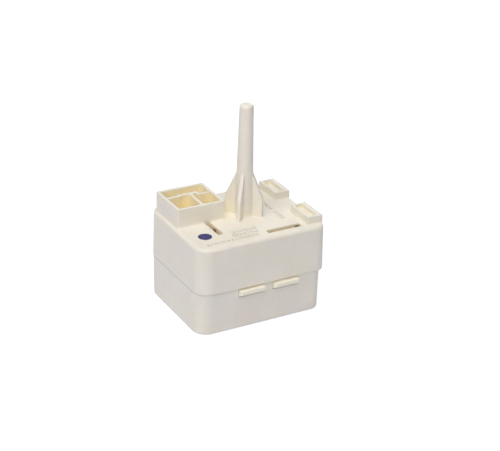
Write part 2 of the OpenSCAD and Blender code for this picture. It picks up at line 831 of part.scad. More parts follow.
// Open steel ring that keeps a socket barrel tight on its pin
module sleeve_spring(p) {
    color([0.70, 0.71, 0.73]) translate([p[0], p[1], floor_t + ring_lift]) difference() {
        cylinder(r = barrel_r + sleeve_t, h = sleeve_h);
        translate([0, 0, -eps]) cylinder(r = barrel_r, h = sleeve_h + 2 * eps);
        translate([-barrel_r - 1, -ring_slit_w / 2, -eps]) cube([barrel_r, ring_slit_w, sleeve_h + 2 * eps]);
    }
}

module run_sleeve_spring() {
    sleeve_spring(run_xy);
}

module start_sleeve_spring() {
    sleeve_spring(start_xy);
}

module common_sleeve_spring() {
    sleeve_spring(common_xy);
}

// Rivets that join each socket to its strap, countersunk inside the socket
module socket_rivets() {
    sink_z = barrel_top - socket_end + rivet_sink_in;
    sink_h = rivet_sink_r - rivet_r;
    color([0.78, 0.62, 0.34]) for (p = sockets) translate([p[0], p[1], 0]) {
        translate([0, 0, sink_z]) cylinder(r1 = rivet_sink_r, r2 = rivet_r, h = sink_h);
        translate([0, 0, sink_z]) cylinder(r = rivet_r, h = strap_top - sink_z);
        translate([0, 0, strap_top]) cylinder(r1 = rivet_head_r, r2 = rivet_head_r * 0.7, h = rivet_head_h);
    }
}

// Flat strap piece at socket height, drawn in plan with a rivet hole at p
module flat_strap(p) {
    prism(strap_z, strap_top) difference() {
        union() {
            translate(p) circle(pad_r);
            children();
        }
        translate(p) circle(rivet_r + rivet_gap);
    }
}

// Top of a blade with two chamfered corners, from z up, between y0 and y1
module blade_outline(y0, y1, z) {
    polygon([
        [y0, z], [y1, z], [y1, blade_top - 1], [y1 - blade_taper, blade_top],
        [y0 + blade_taper, blade_top], [y0, blade_top - 1]
    ]);
}

// Run socket to the neutral blade and to the back plate of the pill
module neutral_strap() {
    half = strap_w / 2;
    color([0.82, 0.70, 0.42]) {
        flat_strap(run_xy) {
            translate([run_xy[0] - half, run_xy[1]]) square([strap_w, bar_y1 - run_xy[1]]);
            translate([arm_x0, bar_y0]) square([run_xy[0] + half - arm_x0, strap_w]);
            translate([arm_x0, run_plate_y]) square([arm_x1 - arm_x0, bar_y1 - run_plate_y]);
        }
        plate_x(left_blade_x - strap_t / 2, left_blade_x + strap_t / 2)
            blade_outline(front_blade_y - blade_w / 2, front_blade_y + blade_w / 2, strap_z);
        plate_y(run_plate_y, run_plate_y + strap_t)
            translate([arm_x0, plate_z0])
                square([pill_x + plate_half - arm_x0, plate_z1 - plate_z0]);
    }
}

// Start socket to the start blade, over the pill and down its front
module start_strap() {
    x0 = right_blade_x - strap_t / 2;
    y0 = front_blade_y - blade_w / 2;
    y1 = front_blade_y + blade_w / 2;
    front_y = start_plate_y;
    step_z = strap_top + 2;
    neck_y = conn_y0 - 1;
    neck_z = well_z - 1;
    arm_top = over_z + over_h;
    color([0.82, 0.70, 0.42]) {
        flat_strap(start_xy) {
            translate([x0, leg_y0]) square([start_xy[0] + pad_r - x0, leg_y1 - leg_y0]);
            translate([start_xy[0] - pad_r, leg_y0]) square([2 * pad_r, start_xy[1] - leg_y0]);
        }
        plate_x(x0, x0 + strap_t) polygon([
            [leg_y0, strap_z], [leg_y1, strap_z], [leg_y1, step_z], [y1, step_z + 2],
            [y1, blade_top - 1], [y1 - blade_taper, blade_top],
            [y0 + blade_taper, blade_top], [y0, blade_top - 1],
            [y0, neck_z], [neck_y, neck_z], [neck_y, arm_top], [front_y, arm_top],
            [front_y, pill_z], [front_y + strap_t, pill_z], [front_y + strap_t, over_z],
            [leg_y0, over_z]
        ]);
        plate_y(front_y, front_y + strap_t)
            translate([pill_x - plate_half, plate_z0])
                square([2 * plate_half, plate_z1 - plate_z0]);
    }
}

// Back blade, along the back, forward over the sockets and down to the protector
module line_strap() {
    y0 = back_blade_y - strap_t / 2;
    x0 = back_blade_x - blade_w / 2;
    x1 = back_blade_x + blade_w / 2;
    flag_y = ol_back + flag_gap;
    color([0.82, 0.70, 0.42]) {
        plate_y(y0, y0 + strap_t) {
            blade_outline(x0, x1, line_z0);
            translate([x0, line_z0]) square([line_x + strap_t - x0, line_w]);
        }
        plate_x(line_x, line_x + strap_t) {
            translate([flag_y, line_z0]) square([y0 + strap_t - flag_y, line_w]);
            translate([flag_y, term_z0]) square([term_out, line_z1 - term_z0]);
        }
    }
}

// Common socket along the right side to the protector
module common_strap() {
    half = strap_w / 2;
    flag_x = common_term_x + term_t;
    flag_y = ol_back + flag_gap;
    flag_z0 = min(term_z0, strap_z);
    flag_z1 = max(term_z1, strap_top);
    side_x = flag_x + strap_t - strap_w;
    color([0.82, 0.70, 0.42]) {
        flat_strap(common_xy) {
            translate([common_xy[0], common_xy[1] - half]) square([side_x + strap_w - common_xy[0], strap_w]);
            translate([side_x, flag_y + term_out]) square([strap_w, common_xy[1] - flag_y - term_out]);
            translate([flag_x, flag_y]) square([strap_t, term_out + strap_t]);
        }
        // The flag covers the terminal and always reaches the flat strap
        plate_x(flag_x, flag_x + strap_t)
            translate([flag_y, flag_z0]) square([term_out, flag_z1 - flag_z0]);
    }
}

module ptc_pill() {
    color([0.35, 0.33, 0.32]) round_y(pill_x, pill_z, pill_d / 2, pill_y, pill_y + pill_t);
}

// Bowed leaf between a plate and the pill, drawn as distance from the plate and height
module bow_section() {
    rise = spring_rise - spring_t;
    foot = bow_reach - bow_foot;
    turn = spring_t * 0.75;
    polygon([
        [0, -bow_reach], [spring_t, -bow_reach], [spring_t, -foot],
        [spring_t + rise, -bow_flat], [spring_t + rise, bow_flat],
        [spring_t, foot], [spring_t, bow_reach], [0, bow_reach], [0, foot - turn],
        [rise, bow_flat - turn], [rise, turn - bow_flat], [0, turn - foot]
    ]);
}

module run_contact_spring() {
    color([0.72, 0.70, 0.66]) translate([pill_x - spring_w / 2, run_plate_y, pill_z])
        rotate([90, 0, 90]) mirror([1, 0]) linear_extrude(spring_w) bow_section();
}

module start_contact_spring() {
    color([0.72, 0.70, 0.66]) translate([pill_x - spring_w / 2, start_plate_y + strap_t, pill_z])
        rotate([90, 0, 90]) linear_extrude(spring_w) bow_section();
}

module overload_case() {
    color([0.20, 0.17, 0.15]) difference() {
        round_y(ol_x, ol_z, ol_r, ol_y0, ol_y1);
        round_y(ol_x, ol_z, ol_in, seat_y, ol_y1 + eps);
    }
}

// Cover with slots for the two terminals
module overload_cover() {
    gap = term_slot_gap;
    color([0.25, 0.20, 0.17]) difference() {
        round_y(ol_x, ol_z, ol_r, ol_y1, ol_back);
        for (x = [line_term_x, common_term_x])
            box([x - gap, ol_y1 - eps, term_z0 - gap], [x + term_t + gap, ol_back + eps, term_z1 + gap]);
    }
}

// Angle with an inner foot for the fixed contact and an outer tongue
module overload_terminal(x, side) {
    inner = ol_x + side * (contact_r - contact_d / 2);
    outer = side > 0 ? x + term_t : x;
    color([0.80, 0.66, 0.36]) {
        box([min(inner, outer), term_y, term_z0], [max(inner, outer), ol_y1, term_z1]);
        box([x, term_y, term_z0], [x + term_t, ol_back + term_out, term_z1]);
    }
}

module overload_line_terminal() {
    overload_terminal(line_term_x, -1);
}

module overload_common_terminal() {
    overload_terminal(common_term_x, 1);
}

// Ribbon heater: an open flat ring on the floor of the case with a leg up to the line terminal
module overload_heater() {
    seat_top = seat_y + heater_t;
    leg_x = ol_x - leg_r;
    ring_in = heater_r - heater_w;
    color([0.62, 0.60, 0.58]) {
        difference() {
            round_y(ol_x, ol_z, heater_r, seat_y, seat_top);
            round_y(ol_x, ol_z, ring_in, seat_y - eps, seat_top + eps);
            box([ol_x, seat_y - eps, ol_z - 2 * leg_half], [ol_x + ol_in, seat_top + eps, ol_z + 2 * leg_half]);
        }
        box([leg_x - heater_t, seat_y, ol_z - leg_half], [ol_x - ring_in - heater_w / 2, seat_top, ol_z + leg_half]);
        box([leg_x - heater_t, seat_y, ol_z - leg_half], [leg_x, term_y, ol_z + leg_half]);
    }
}

// Stud that carries the disc
module overload_stud() {
    neck_y = disc_y - disc_dish;
    color([0.70, 0.71, 0.73]) {
        round_y(ol_x, ol_z, stud_base_r, seat_y, seat_y + stud_base_h);
        round_y(ol_x, ol_z, stud_neck_r, seat_y + stud_base_h, neck_y);
        round_y(ol_x, ol_z, stud_tip_r, neck_y, disc_y + 2 * contact_h);
    }
}

// Push-on clip that holds the disc on the stud
module overload_disc_clip() {
    y0 = disc_y - disc_dish + disc_t;
    color([0.62, 0.63, 0.65]) difference() {
        round_y(ol_x, ol_z, clip_r, y0, y0 + clip_h);
        round_y(ol_x, ol_z, stud_tip_r, y0 - eps, y0 + clip_h + eps);
    }
}

// Dished snap disc with a flat rim, its centre towards the floor of the case
module bimetal_disc() {
    hole_r = stud_tip_r + rivet_gap;
    rim_r = disc_d / 2;
    color([0.72, 0.64, 0.52]) difference() {
        translate([ol_x, disc_y, ol_z]) rotate([-90, 0, 0]) rotate_extrude() polygon([
            [hole_r, -disc_dish], [disc_hub_r, -disc_dish], [disc_knee_r, 0], [rim_r, 0],
            [rim_r, disc_t], [disc_knee_r, disc_t], [disc_hub_r, disc_t - disc_dish],
            [hole_r, disc_t - disc_dish]
        ]);
        for (side = [-1, 1])
            round_y(ol_x + side * contact_r, ol_z, stem_r, disc_y - eps, disc_y + eps + disc_t);
    }
}

// Silver contacts riveted through the disc
module moving_contacts() {
    color([0.80, 0.80, 0.80]) for (side = [-1, 1]) {
        x = ol_x + side * contact_r;
        round_y(x, ol_z, contact_d * 0.4, disc_y - contact_h / 2, disc_y);
        round_y(x, ol_z, stem_r, disc_y, disc_y + disc_t);
        round_y(x, ol_z, contact_d / 2, disc_y + disc_t, disc_y + disc_t + contact_h);
    }
}

// Silver contacts on the feet of the two terminals
module fixed_contacts() {
    color([0.80, 0.80, 0.80]) for (side = [-1, 1])
        round_y(ol_x + side * contact_r, ol_z, contact_d / 2, term_y - contact_h, term_y);
}

upper_housing();
base_tray();
neutral_strap();
start_strap();
line_strap();
common_strap();
run_socket();
start_socket();
common_socket();
run_sleeve_spring();
start_sleeve_spring();
common_sleeve_spring();
socket_rivets();
ptc_pill();
run_contact_spring();
start_contact_spring();
overload_case();
overload_cover();
overload_line_terminal();
overload_common_terminal();
overload_heater();
overload_stud();
overload_disc_clip();
bimetal_disc();
moving_contacts();
fixed_contacts();
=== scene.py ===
import json
import math

import bmesh
import bpy
from mathutils import Matrix, Vector


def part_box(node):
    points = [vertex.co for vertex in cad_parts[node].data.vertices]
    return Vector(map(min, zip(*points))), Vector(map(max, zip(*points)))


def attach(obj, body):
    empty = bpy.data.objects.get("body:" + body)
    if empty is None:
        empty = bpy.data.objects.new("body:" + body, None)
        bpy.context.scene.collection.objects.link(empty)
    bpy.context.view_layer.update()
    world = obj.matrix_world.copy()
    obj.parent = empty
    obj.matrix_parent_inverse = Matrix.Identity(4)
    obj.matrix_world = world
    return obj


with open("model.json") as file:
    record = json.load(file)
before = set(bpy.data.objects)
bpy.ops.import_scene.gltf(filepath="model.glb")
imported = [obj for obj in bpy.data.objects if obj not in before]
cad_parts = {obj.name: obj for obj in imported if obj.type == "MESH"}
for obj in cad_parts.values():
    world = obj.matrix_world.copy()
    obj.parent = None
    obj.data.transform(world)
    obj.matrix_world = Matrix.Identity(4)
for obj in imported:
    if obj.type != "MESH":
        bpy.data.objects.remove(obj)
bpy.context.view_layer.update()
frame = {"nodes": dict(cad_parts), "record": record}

nodes = frame["nodes"]
MM = 0.001

# Places on the case, in millimetres, repeated from the part's source
TOP_Z = 31.6
DOT_PLACE = (-17.15, -9.8)
DOT_R = 2.33
# Rows of raised ticks: first tick, step to the next, count, narrowest and longest tick, height
TICK_ROWS = [
    ((-19.2, -16.0), (1.3, 0.03), 15, (0.35, 0.7), (0.85, 1.4)),
    ((-7.7, -11.1), (1.16, 0.02), 8, (0.45, 0.8), (0.95, 1.6)),
    ((-8.4, -13.4), (1.2, 0.02), 8, (0.45, 0.8), (0.95, 1.6)),
    ((12.95, 5.9), (0.0, -1.5), 5, (0.8, 0.4), (1.5, 0.8)),
    ((12.95, -3.6), (0.0, -1.5), 4, (0.8, 0.4), (1.5, 0.8)),
]
TICK_H = 0.45
# How far the dot and the ticks reach into the top
ROOT = 0.02
# Boxes round the room in the cells, in the two slots, at the dark ends of the slots and round the snap noses,
# where light and shade are painted
CELL_BOX = ((-21.8, 0.0, 24.2), (-5.9, 15.0, 38.25))
FRONT_SLOT = ((2.8, -16.7, 29.0), (15.9, -14.1, 31.55))
SIDE_SLOT = ((-12.8, -10.8, 29.0), (-10.4, -0.6, 31.55))
FRONT_SLOT_END = ((14.0, -15.4, 29.0), (15.9, -14.1, 31.0))
SIDE_SLOT_END = ((-12.1, -5.4, 29.0), (-10.4, -3.2, 30.7))
FRONT_NOSES = ((-10.0, -21.6, 10.5), (13.8, -19.3, 14.9))
BACK_NOSES = ((-10.0, 19.5, 10.5), (13.8, 21.8, 14.9))


# Camera

def add_camera():
    """A long lens at the height and side from which the relay was photographed."""
    data = bpy.data.cameras.new("camera")
    data.sensor_fit = "HORIZONTAL"
    data.sensor_width = 36.0
    data.lens = 100.63
    data.clip_start = 0.01
    data.clip_end = 20.0
    camera = bpy.data.objects.new("camera", data)
    bpy.context.scene.collection.objects.link(camera)
    azimuth, elevation, roll = (math.radians(a) for a in (-29.768, 25.824, 1.705))
    back = Vector((math.sin(azimuth) * math.cos(elevation),
                   -math.cos(azimuth) * math.cos(elevation),
                   math.sin(elevation)))
    level = (-back).cross(Vector((0, 0, 1))).normalized()
    upright = level.cross(-back)
    right = math.cos(roll) * level + math.sin(roll) * upright
    up = -math.sin(roll) * level + math.cos(roll) * upright
    turn = Matrix((right, up, back)).transposed()
    camera.matrix_world = Matrix.Translation(CAMERA_PLACE * MM) @ turn.to_4x4()
    bpy.context.scene.camera = camera


CAMERA_PLACE = Vector((-206.82, -370.61, 233.31))
add_camera()


# Small helpers for node trees

def link(tree, source, target):
    """Joins two sockets."""
    tree.links.new(source, target)


def add_node(tree, kind, **values):
    """A new node; names of its inputs or properties set its values."""
    node = tree.nodes.new(kind)
    for name, value in values.items():
        if hasattr(node, name):
            setattr(node, name, value)
        else:
            node.inputs[name.replace("_", " ")].default_value = value
    return node


def new_group(name, inputs, outputs):
    """A shader node group with named inputs and outputs, and its end nodes."""
    group = bpy.data.node_groups.new(name, "ShaderNodeTree")
    kinds = {"float": "NodeSocketFloat", "color": "NodeSocketColor", "vector": "NodeSocketVector"}
    for label, kind, value in inputs:
        socket = group.interface.new_socket(name=label, in_out="INPUT", socket_type=kinds[kind])
        if value is not None:
            socket.default_value = value
    for label, kind in outputs:
        group.interface.new_socket(name=label, in_out="OUTPUT", socket_type=kinds[kind])
    start = group.nodes.new("NodeGroupInput")
    end = group.nodes.new("NodeGroupOutput")
    return group, start, end


def math_node(tree, operation, first, second, clamp=False):
    """A Math node; each side is a socket or a number."""
    node = tree.nodes.new("ShaderNodeMath")
    node.operation = operation
    node.use_clamp = clamp
    for index, side in enumerate((first, second)):
        if isinstance(side, (int, float)):
            node.inputs[index].default_value = side
        else:
            link(tree, side, node.inputs[index])
    return node.outputs[0]


def mix_color(tree, factor, first, second):
    """A colour mix; each side is a socket or a colour."""
    node = tree.nodes.new("ShaderNodeMix")
    node.data_type = "RGBA"
    for socket, side in ((node.inputs[0], factor), (node.inputs[6], first), (node.inputs[7], second)):
        if hasattr(side, "links"):
            link(tree, side, socket)
        else:
            socket.default_value = side
    return node.outputs[2]


def ramp(tree, factor, low, high):
    """A straight ramp from 0 to 1 between low and high."""
    node = tree.nodes.new("ShaderNodeMapRange")
    node.clamp = True
    link(tree, factor, node.inputs["Value"])
    node.inputs["From Min"].default_value = low
    node.inputs["From Max"].default_value = high
    return node.outputs["Result"]


def noise(tree, place, scale, detail=3.0, roughness=0.5):
    """A noise value on the given coordinates."""
    node = tree.nodes.new("ShaderNodeTexNoise")
    link(tree, place, node.inputs["Vector"])
    if hasattr(scale, "links"):
        link(tree, scale, node.inputs["Scale"])
    else:
        node.inputs["Scale"].default_value = scale
    node.inputs["Detail"].default_value = detail
    node.inputs["Roughness"].default_value = roughness
    return node.outputs["Fac"]


# Shared effects

def make_mould_grain():
    """Spark-eroded mould surface: cloudy colour, dull and shiny patches, fine pits."""
    group, start, end = new_group(
        "mould_grain",
        [("Place", "vector", None), ("Light", "color", None), ("Dark", "color", None),
         ("Cloud Scale", "float", 90.0), ("Pit Scale", "float", 5200.0),
         ("Dull", "float", 0.5), ("Shiny", "float", 0.4)],
        [("Color", "color"), ("Roughness", "float"), ("Height", "float")])
    place = start.outputs["Place"]
    cloud = noise(group, place, start.outputs["Cloud Scale"], 4.0, 0.55)
    flow = noise(group, place, math_node(group, "MULTIPLY", start.outputs["Cloud Scale"], 3.7), 2.0)
    patch = math_node(group, "ADD", math_node(group, "MULTIPLY", cloud, 0.65),
                      math_node(group, "MULTIPLY", flow, 0.35))
    spread = ramp(group, patch, 0.35, 0.65)
    link(group, mix_color(group, spread, start.outputs["Dark"], start.outputs["Light"]),
         end.inputs["Color"])
    pits = noise(group, place, start.outputs["Pit Scale"], 2.0, 0.6)
    dull = math_node(group, "MULTIPLY", start.outputs["Dull"], spread)
    shiny = math_node(group, "MULTIPLY", start.outputs["Shiny"], math_node(group, "SUBTRACT", 1.0, spread))
    base = math_node(group, "ADD", dull, shiny)
    speckle = math_node(group, "MULTIPLY", math_node(group, "SUBTRACT", pits, 0.5), 0.16)
    link(group, math_node(group, "ADD", base, speckle, clamp=True), end.inputs["Roughness"])
    link(group, pits, end.inputs["Height"])
    return group


def make_edge_wear():
    """Mask of worn edges, from how far a rounded normal turns from the flat one."""
    group, start, end = new_group(
        "edge_wear",
        [("Rounded", "vector", None), ("Flat", "vector", None), ("Breakup", "float", 0.5),
         ("Amount", "float", 1.0)],
        [("Mask", "float")])
    dot = group.nodes.new("ShaderNodeVectorMath")
    dot.operation = "DOT_PRODUCT"
    link(group, start.outputs["Rounded"], dot.inputs[0])
    link(group, start.outputs["Flat"], dot.inputs[1])
    turned = ramp(group, math_node(group, "SUBTRACT", 1.0, dot.outputs["Value"]), 0.02, 0.25)
    broken = math_node(group, "MULTIPLY", turned, ramp(group, start.outputs["Breakup"], 0.3, 0.7))
    link(group, math_node(group, "MULTIPLY", broken, start.outputs["Amount"], clamp=True),
         end.inputs["Mask"])
    return group


def make_painted_hollow_light():
    """Painted bounce light and shade: warms the colour inside narrow hollows, where light bounces from wall to
    wall, or darkens it when the given colour is darker.
    """
    group, start, end = new_group(
        "painted_hollow_light",
        [("Outer", "color", None), ("Corner", "color", None), ("Reach", "float", 0.006)],
        [("Color", "color")])
    open_sky = group.nodes.new("ShaderNodeAmbientOcclusion")
    open_sky.samples = 8
    open_sky.only_local = True
    link(group, start.outputs["Reach"], open_sky.inputs["Distance"])
    closed_in = math_node(group, "SUBTRACT", 1.0, ramp(group, open_sky.outputs["AO"], 0.1, 0.6))
    link(group, mix_color(group, closed_in, start.outputs["Outer"], start.outputs["Corner"]),
         end.inputs["Color"])
    return group


def make_depth_in_box():
    """0 outside a box; inside it, rises from the box's top to 1 at the given depth."""
    group, start, end = new_group(
        "depth_in_box",
        [("Place", "vector", None), ("Low", "vector", None), ("High", "vector", None),
         ("First", "float", 0.5), ("Full Depth", "float", 0.004)],
        [("Mask", "float")])
    mask = None
    for upper, lower in (("Place", "Low"), ("High", "Place")):
        room = group.nodes.new("ShaderNodeVectorMath")
        room.operation = "SUBTRACT"
        link(group, start.outputs[upper], room.inputs[0])
        link(group, start.outputs[lower], room.inputs[1])
        axes = group.nodes.new("ShaderNodeSeparateXYZ")
        link(group, room.outputs["Vector"], axes.inputs[0])
        for axis in "XYZ":
            inside = math_node(group, "GREATER_THAN", axes.outputs[axis], 0.0)
            mask = inside if mask is None else math_node(group, "MULTIPLY", mask, inside)
    sunk = math_node(group, "DIVIDE", axes.outputs["Z"], start.outputs["Full Depth"], clamp=True)
    rest = math_node(group, "SUBTRACT", 1.0, start.outputs["First"])
    level = math_node(group, "ADD", start.outputs["First"], math_node(group, "MULTIPLY", rest, sunk))
    link(group, math_node(group, "MULTIPLY", mask, level), end.inputs["Mask"])
    return group


def make_strip_grain():
    """Rolled or drawn metal strip: long fine lines along one direction, and tarnish."""
    group, start, end = new_group(
        "strip_grain",
        [("Place", "vector", None), ("Clean", "color", None), ("Tarnished", "color", None),
         ("Line Scale", "float", 700.0), ("Tarnish", "float", 0.4),
         ("Bright Roughness", "float", 0.25), ("Dull Roughness", "float", 0.45)],
        [("Color", "color"), ("Roughness", "float"), ("Height", "float")])
    stretch = group.nodes.new("ShaderNodeVectorMath")
    stretch.operation = "MULTIPLY"
    link(group, start.outputs["Place"], stretch.inputs[0])
    stretch.inputs[1].default_value = (1.0, 1.0, 0.06)
    lines = noise(group, stretch.outputs["Vector"], start.outputs["Line Scale"], 3.0, 0.6)
    stain = noise(group, start.outputs["Place"], 240.0, 4.0, 0.6)
    tarnished = math_node(group, "MULTIPLY", ramp(group, stain, 0.42, 0.68), start.outputs["Tarnish"])
    link(group, mix_color(group, tarnished, start.outputs["Clean"], start.outputs["Tarnished"]),
         end.inputs["Color"])
    span = math_node(group, "SUBTRACT", start.outputs["Dull Roughness"], start.outputs["Bright Roughness"])
    mixed = math_node(group, "ADD", math_node(group, "MULTIPLY", lines, 0.6),
                      math_node(group, "MULTIPLY", tarnished, 0.8))
    link(group, math_node(group, "ADD", math_node(group, "MULTIPLY", span, mixed),
                          start.outputs["Bright Roughness"], clamp=True), end.inputs["Roughness"])
    link(group, lines, end.inputs["Height"])
    return group


MOULD_GRAIN = make_mould_grain()
EDGE_WEAR = make_edge_wear()
PAINTED_HOLLOW_LIGHT = make_painted_hollow_light()
DEPTH_IN_BOX = make_depth_in_box()
STRIP_GRAIN = make_strip_grain()


def use_group(tree, group, **values):
    """Places a node group; underscores in a value's name stand for spaces."""
    node = tree.nodes.new("ShaderNodeGroup")
    node.node_tree = group
    for name, value in values.items():
        socket = node.inputs[name.replace("_", " ")]
        if hasattr(value, "links"):
            link(tree, value, socket)
        else:
            socket.default_value = value
    return node


def new_material(name):
    """A material with its Principled shader and object coordinates."""
    material = bpy.data.materials.new(name)
    material.use_nodes = True
    tree = material.node_tree
    shader = tree.nodes["Principled BSDF"]
    place = tree.nodes.new("ShaderNodeTexCoord").outputs["Object"]
    return material, tree, shader, place


def linear(red, green, blue):
    """A colour given as it looks on screen, 0 to 255."""
    def part(value):
        value /= 255.0
        return value / 12.92 if value <= 0.04045 else ((value + 0.055) / 1.055) ** 2.4
    return (part(red), part(green), part(blue), 1.0)


def moulded_plastic(name, light, dark, edge, painted_hollow_color, wear, dull, shiny, pit_depth, soft_edge, glow=0.0, painted_light_boxes=()):
    """Moulded plastic with a fine eroded surface and slightly rounded, paler edges, painted bounce light and
    shade in its hollows, and painted light, shade, shadow and glow in the given boxes.
    """
    material, tree, shader, place = new_material(name)
    grain = use_group(tree, MOULD_GRAIN, Place=place, Light=light, Dark=dark, Dull=dull, Shiny=shiny)
    rounded = add_node(tree, "ShaderNodeBevel", samples=6, Radius=soft_edge)
    true_normal = tree.nodes.new("ShaderNodeNewGeometry").outputs["Normal"]
    mask = use_group(tree, EDGE_WEAR, Rounded=rounded.outputs["Normal"], Flat=true_normal,
                     Breakup=noise(tree, place, 900.0, 3.0), Amount=wear)
    surface = mix_color(tree, mask.outputs["Mask"], grain.outputs["Color"], edge)
    # Painted bounce light and shade in narrow hollows
    color = use_group(tree, PAINTED_HOLLOW_LIGHT, Outer=surface, Corner=painted_hollow_color).outputs["Color"]
    for box, first, full_depth, inner, lit in painted_light_boxes:
        low, high = (tuple(side * MM for side in corner) for corner in box)
        deep = use_group(tree, DEPTH_IN_BOX, Place=place, Low=low, High=high, First=first,
                         Full_Depth=full_depth * MM).outputs["Mask"]
        color = mix_color(tree, deep, color, inner)
        # A box with a glow strength gives off its painted colour as light, though the plastic is no lamp
        if lit:
            link(tree, mix_color(tree, deep, (0.0, 0.0, 0.0, 1.0), inner), shader.inputs["Emission Color"])
            shader.inputs["Emission Strength"].default_value = lit
    link(tree, color, shader.inputs["Base Color"])
    link(tree, grain.outputs["Roughness"], shader.inputs["Roughness"])
    bump = add_node(tree, "ShaderNodeBump", Strength=0.35, Distance=pit_depth)
    link(tree, grain.outputs["Height"], bump.inputs["Height"])
    link(tree, rounded.outputs["Normal"], bump.inputs["Normal"])
    link(tree, bump.outputs["Normal"], shader.inputs["Normal"])
    shader.inputs["IOR"].default_value = 1.5
    if glow:
        shader.inputs["Subsurface Weight"].default_value = glow
        shader.inputs["Subsurface Radius"].default_value = (1.0, 0.7, 0.4)
        shader.inputs["Subsurface Scale"].default_value = 0.0012
    return material


def strip_metal(name, clean, tarnished, tarnish, bright, dull, line_scale=700.0, soft_edge=0.00012):
    """Stamped or rolled metal with fine lines along it."""
    material, tree, shader, place = new_material(name)
    grain = use_group(tree, STRIP_GRAIN, Place=place, Clean=clean, Tarnished=tarnished,
                      Tarnish=tarnish, Bright_Roughness=bright, Dull_Roughness=dull,
                      Line_Scale=line_scale)
    rounded = add_node(tree, "ShaderNodeBevel", samples=4, Radius=soft_edge)
    bump = add_node(tree, "ShaderNodeBump", Strength=0.25, Distance=0.00002)
    link(tree, grain.outputs["Height"], bump.inputs["Height"])
    link(tree, rounded.outputs["Normal"], bump.inputs["Normal"])
    link(tree, grain.outputs["Color"], shader.inputs["Base Color"])
    link(tree, grain.outputs["Roughness"], shader.inputs["Roughness"])
    link(tree, bump.outputs["Normal"], shader.inputs["Normal"])
    shader.inputs["Metallic"].default_value = 1.0
    return material


IVORY_LIGHT = linear(246, 241, 228)
IVORY_DARK = linear(243, 237, 222)
IVORY_EDGE = linear(250, 246, 234)
# Painted light and shade: bounce light in hollows, a glow in the cells, light on the snap noses, shade in the
# slots and shadow at their ends
IVORY_PAINTED_BOUNCE = linear(255, 247, 222)
IVORY_PAINTED_CELL_GLOW = linear(255, 240, 198)
IVORY_PAINTED_NOSE_LIGHT = linear(255, 249, 230)
SLOT_SHADE = linear(226, 204, 158)
SLOT_PAINTED_SHADOW = linear(120, 102, 70)
# Boxes of painted light and shade: box, tint at its top, depth of the full tint, colour and glow
PAINTED_LIGHT_BOXES = [
    # Cells: painted warm bounce light that deepens downwards, and a painted glow
    (CELL_BOX, 0.5, 4.0, IVORY_PAINTED_CELL_GLOW, 0.07),
    # Slots: painted shade that deepens downwards
    (FRONT_SLOT, 0.0, 2.0, SLOT_SHADE, 0.0),
    (SIDE_SLOT, 0.0, 2.4, SLOT_SHADE, 0.0),
    # Snap noses: painted light, as if their fronts were lit
    (FRONT_NOSES, 1.0, 1.0, IVORY_PAINTED_NOSE_LIGHT, 0.0),
    (BACK_NOSES, 1.0, 1.0, IVORY_PAINTED_NOSE_LIGHT, 0.0),
    # Slot ends: painted shadow where the slots seem to run deeper
    (FRONT_SLOT_END, 0.6, 0.8, SLOT_PAINTED_SHADOW, 0.0),
    (SIDE_SLOT_END, 0.6, 0.8, SLOT_PAINTED_SHADOW, 0.0),
]

housing_plastic = moulded_plastic("housing_plastic", IVORY_LIGHT, IVORY_DARK, IVORY_EDGE, IVORY_PAINTED_BOUNCE,
                                  0.5, 0.5, 0.4, 0.00002, 0.00045, 0.25, PAINTED_LIGHT_BOXES)
tray_plastic = moulded_plastic("tray_plastic", linear(245, 240, 228), linear(241, 235, 221), IVORY_EDGE,
                               IVORY_PAINTED_BOUNCE, 0.4, 0.52, 0.42, 0.00002, 0.00045, 0.25)
# The phenolic's hollow colour is darker: painted shade
phenolic = moulded_plastic("phenolic", linear(58, 44, 36), linear(40, 31, 27), linear(84, 66, 54),
                           linear(50, 38, 31), 0.7, 0.36, 0.24, 0.00001, 0.0002)
brass = strip_metal("brass", linear(222, 186, 112), linear(176, 136, 78), 0.6, 0.2, 0.42)
spring_steel = strip_metal("spring_steel", linear(196, 196, 198), linear(150, 146, 142), 0.4, 0.22, 0.4)
bimetal = strip_metal("bimetal", linear(186, 172, 148), linear(150, 128, 100), 0.5, 0.24, 0.4)
heater_alloy = strip_metal("heater_alloy", linear(140, 136, 132), linear(96, 88, 82), 0.8, 0.35, 0.6)
silver = strip_metal("silver", linear(236, 236, 232), linear(196, 190, 178), 0.35, 0.14, 0.3, 1400.0)


def pill_ceramic():
    """Grey sintered ceramic with a matt silver electrode printed on each face."""
    material, tree, shader, place = new_material("ptc_ceramic")
    grain = use_group(tree, MOULD_GRAIN, Place=place, Light=linear(112, 106, 102),
                      Dark=linear(78, 73, 71), Dull=0.75, Shiny=0.6, Cloud_Scale=420.0)
    low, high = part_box("ptc_pill")
    centre = (Vector(low) + Vector(high)) / 2
    shift = tree.nodes.new("ShaderNodeVectorMath")
    shift.operation = "SUBTRACT"
    link(tree, place, shift.inputs[0])
    shift.inputs[1].default_value = centre
    flat = tree.nodes.new("ShaderNodeVectorMath")
    flat.operation = "MULTIPLY"
    link(tree, shift.outputs["Vector"], flat.inputs[0])
    flat.inputs[1].default_value = (1.0, 0.0, 1.0)
    length = tree.nodes.new("ShaderNodeVectorMath")
    length.operation = "LENGTH"
    link(tree, flat.outputs["Vector"], length.inputs[0])
    edge = (high[0] - low[0]) / 2 - 0.0006
    inside = math_node(tree, "LESS_THAN", length.outputs["Value"], edge)
    link(tree, mix_color(tree, inside, grain.outputs["Color"], linear(198, 196, 192)),
         shader.inputs["Base Color"])
    link(tree, math_node(tree, "MULTIPLY", inside, 0.85), shader.inputs["Metallic"])
    link(tree, grain.outputs["Roughness"], shader.inputs["Roughness"])
    bump = add_node(tree, "ShaderNodeBump", Strength=0.5, Distance=0.00003)
    link(tree, grain.outputs["Height"], bump.inputs["Height"])
    link(tree, bump.outputs["Normal"], shader.inputs["Normal"])
    return material


ptc_ceramic = pill_ceramic()


